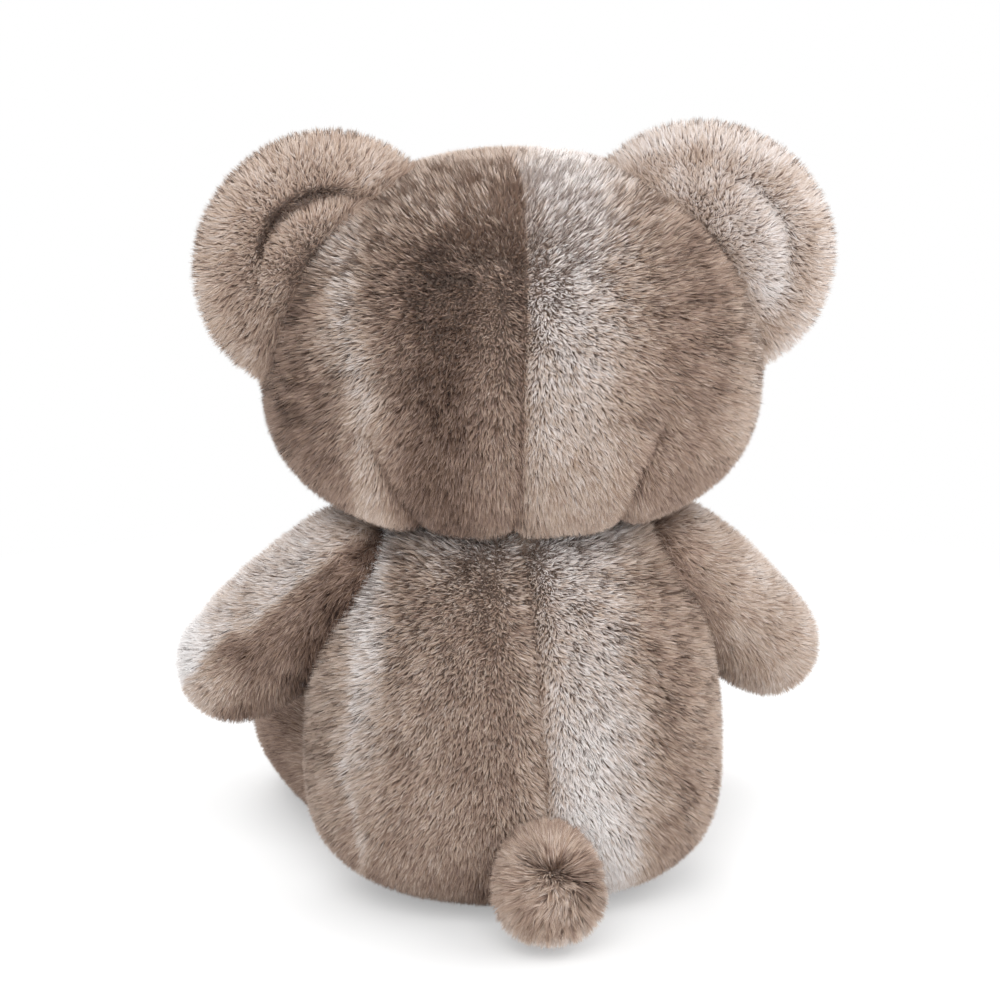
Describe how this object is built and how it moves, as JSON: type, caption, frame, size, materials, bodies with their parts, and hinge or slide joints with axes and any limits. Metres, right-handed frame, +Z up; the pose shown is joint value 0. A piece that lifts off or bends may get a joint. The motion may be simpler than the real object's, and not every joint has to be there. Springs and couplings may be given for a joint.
{
  "type": "teddy bear",
  "caption": "Seated plush teddy bear with a broad head, round ears, tapered arms, splayed legs with flat soles and a tuft of a tail, on sewn joints that bend and spring back.",
  "frame": {"origin": "middle of the flat seat under the torso", "axes": "+Z up, -Y the way the bear faces, +X the bear's left"},
  "size_m": [0.2242, 0.2257, 0.2702],
  "materials": {
    "brown_plush": "long pile faux fur, tipped paler",
    "pale_plush": "pale faux fur",
    "short_pile": "short pile plush",
    "polyester_fibre": "loose white fibre",
    "pouch_canvas": "woven cotton",
    "dark_plastic": "polished black",
    "washer_plastic": "moulded white",
    "brown_thread": "dark brown embroidery thread"
  },
  "bodies": {
    "torso": {"torso_cover": "brown_plush", "torso_filling": "polyester_fibre", "pellet_pouch": "pouch_canvas"},
    "neck": {"neck_filling": "polyester_fibre"},
    "head": {"head_cover": "brown_plush", "head_filling": "polyester_fibre", "muzzle_cover": "pale_plush", "muzzle_filling": "polyester_fibre", "nose": "dark_plastic", "nose_washer": "washer_plastic", "eye_left": "dark_plastic", "eye_right": "dark_plastic", "eye_washer_left": "washer_plastic", "eye_washer_right": "washer_plastic", "mouth_stitching": "brown_thread"},
    "ear_left": {"ear_left": "brown_plush", "ear_lining_left": "short_pile"},
    "ear_right": {"ear_right": "brown_plush", "ear_lining_right": "short_pile"},
    "arm_left": {"arm_cover_left": "brown_plush", "arm_filling_left": "polyester_fibre"},
    "arm_right": {"arm_cover_right": "brown_plush", "arm_filling_right": "polyester_fibre"},
    "leg_left": {"leg_cover_left": "brown_plush", "leg_filling_left": "polyester_fibre", "foot_pad_left": "short_pile"},
    "leg_right": {"leg_cover_right": "brown_plush", "leg_filling_right": "polyester_fibre", "foot_pad_right": "short_pile"},
    "tail": {"tail_cover": "brown_plush", "tail_filling": "polyester_fibre"}
  },
  "joints": [
    {"name": "neck_turn", "type": "hinge", "parent": "torso", "child": "neck", "pos_m": [0, 0, 0.129], "axis": [0, 0, 1], "range_deg": [-15, 15], "stiffness_Nm_per_rad": 0.8},
    {"name": "neck_nod", "type": "hinge", "parent": "neck", "child": "head", "pos_m": [0, 0, 0.129], "axis": [1, 0, 0], "range_deg": [-8, 8], "stiffness_Nm_per_rad": 1.2},
    {"name": "ear_left_bend", "type": "hinge", "parent": "head", "child": "ear_left", "pos_m": [0.07067, 0.004, 0.22822], "axis": [0.5347, 0, -0.845], "range_deg": [-12, 12], "stiffness_Nm_per_rad": 0.05},
    {"name": "ear_right_bend", "type": "hinge", "parent": "head", "child": "ear_right", "pos_m": [-0.07067, 0.004, 0.22822], "axis": [-0.5347, 0, -0.845], "range_deg": [-12, 12], "stiffness_Nm_per_rad": 0.05},
    {"name": "shoulder_left", "type": "hinge", "parent": "torso", "child": "arm_left", "pos_m": [0.0532, 0, 0.116], "axis": [-1, 0, 0], "range_deg": [-15, 35], "stiffness_Nm_per_rad": 0.15},
    {"name": "shoulder_right", "type": "hinge", "parent": "torso", "child": "arm_right", "pos_m": [-0.0532, 0, 0.116], "axis": [-1, 0, 0], "range_deg": [-15, 35], "stiffness_Nm_per_rad": 0.15},
    {"name": "hip_left", "type": "hinge", "parent": "torso", "child": "leg_left", "pos_m": [0.042, -0.04303, 0.0255], "axis": [-1, 0, 0], "range_deg": [-10, 25], "stiffness_Nm_per_rad": 0.2},
    {"name": "hip_right", "type": "hinge", "parent": "torso", "child": "leg_right", "pos_m": [-0.042, -0.04303, 0.0255], "axis": [-1, 0, 0], "range_deg": [-10, 25], "stiffness_Nm_per_rad": 0.2},
    {"name": "tail_bend", "type": "hinge", "parent": "torso", "child": "tail", "pos_m": [0, 0.05577, 0.029], "axis": [1, 0, 0], "range_deg": [-12, 25], "stiffness_Nm_per_rad": 0.03}
  ]
}
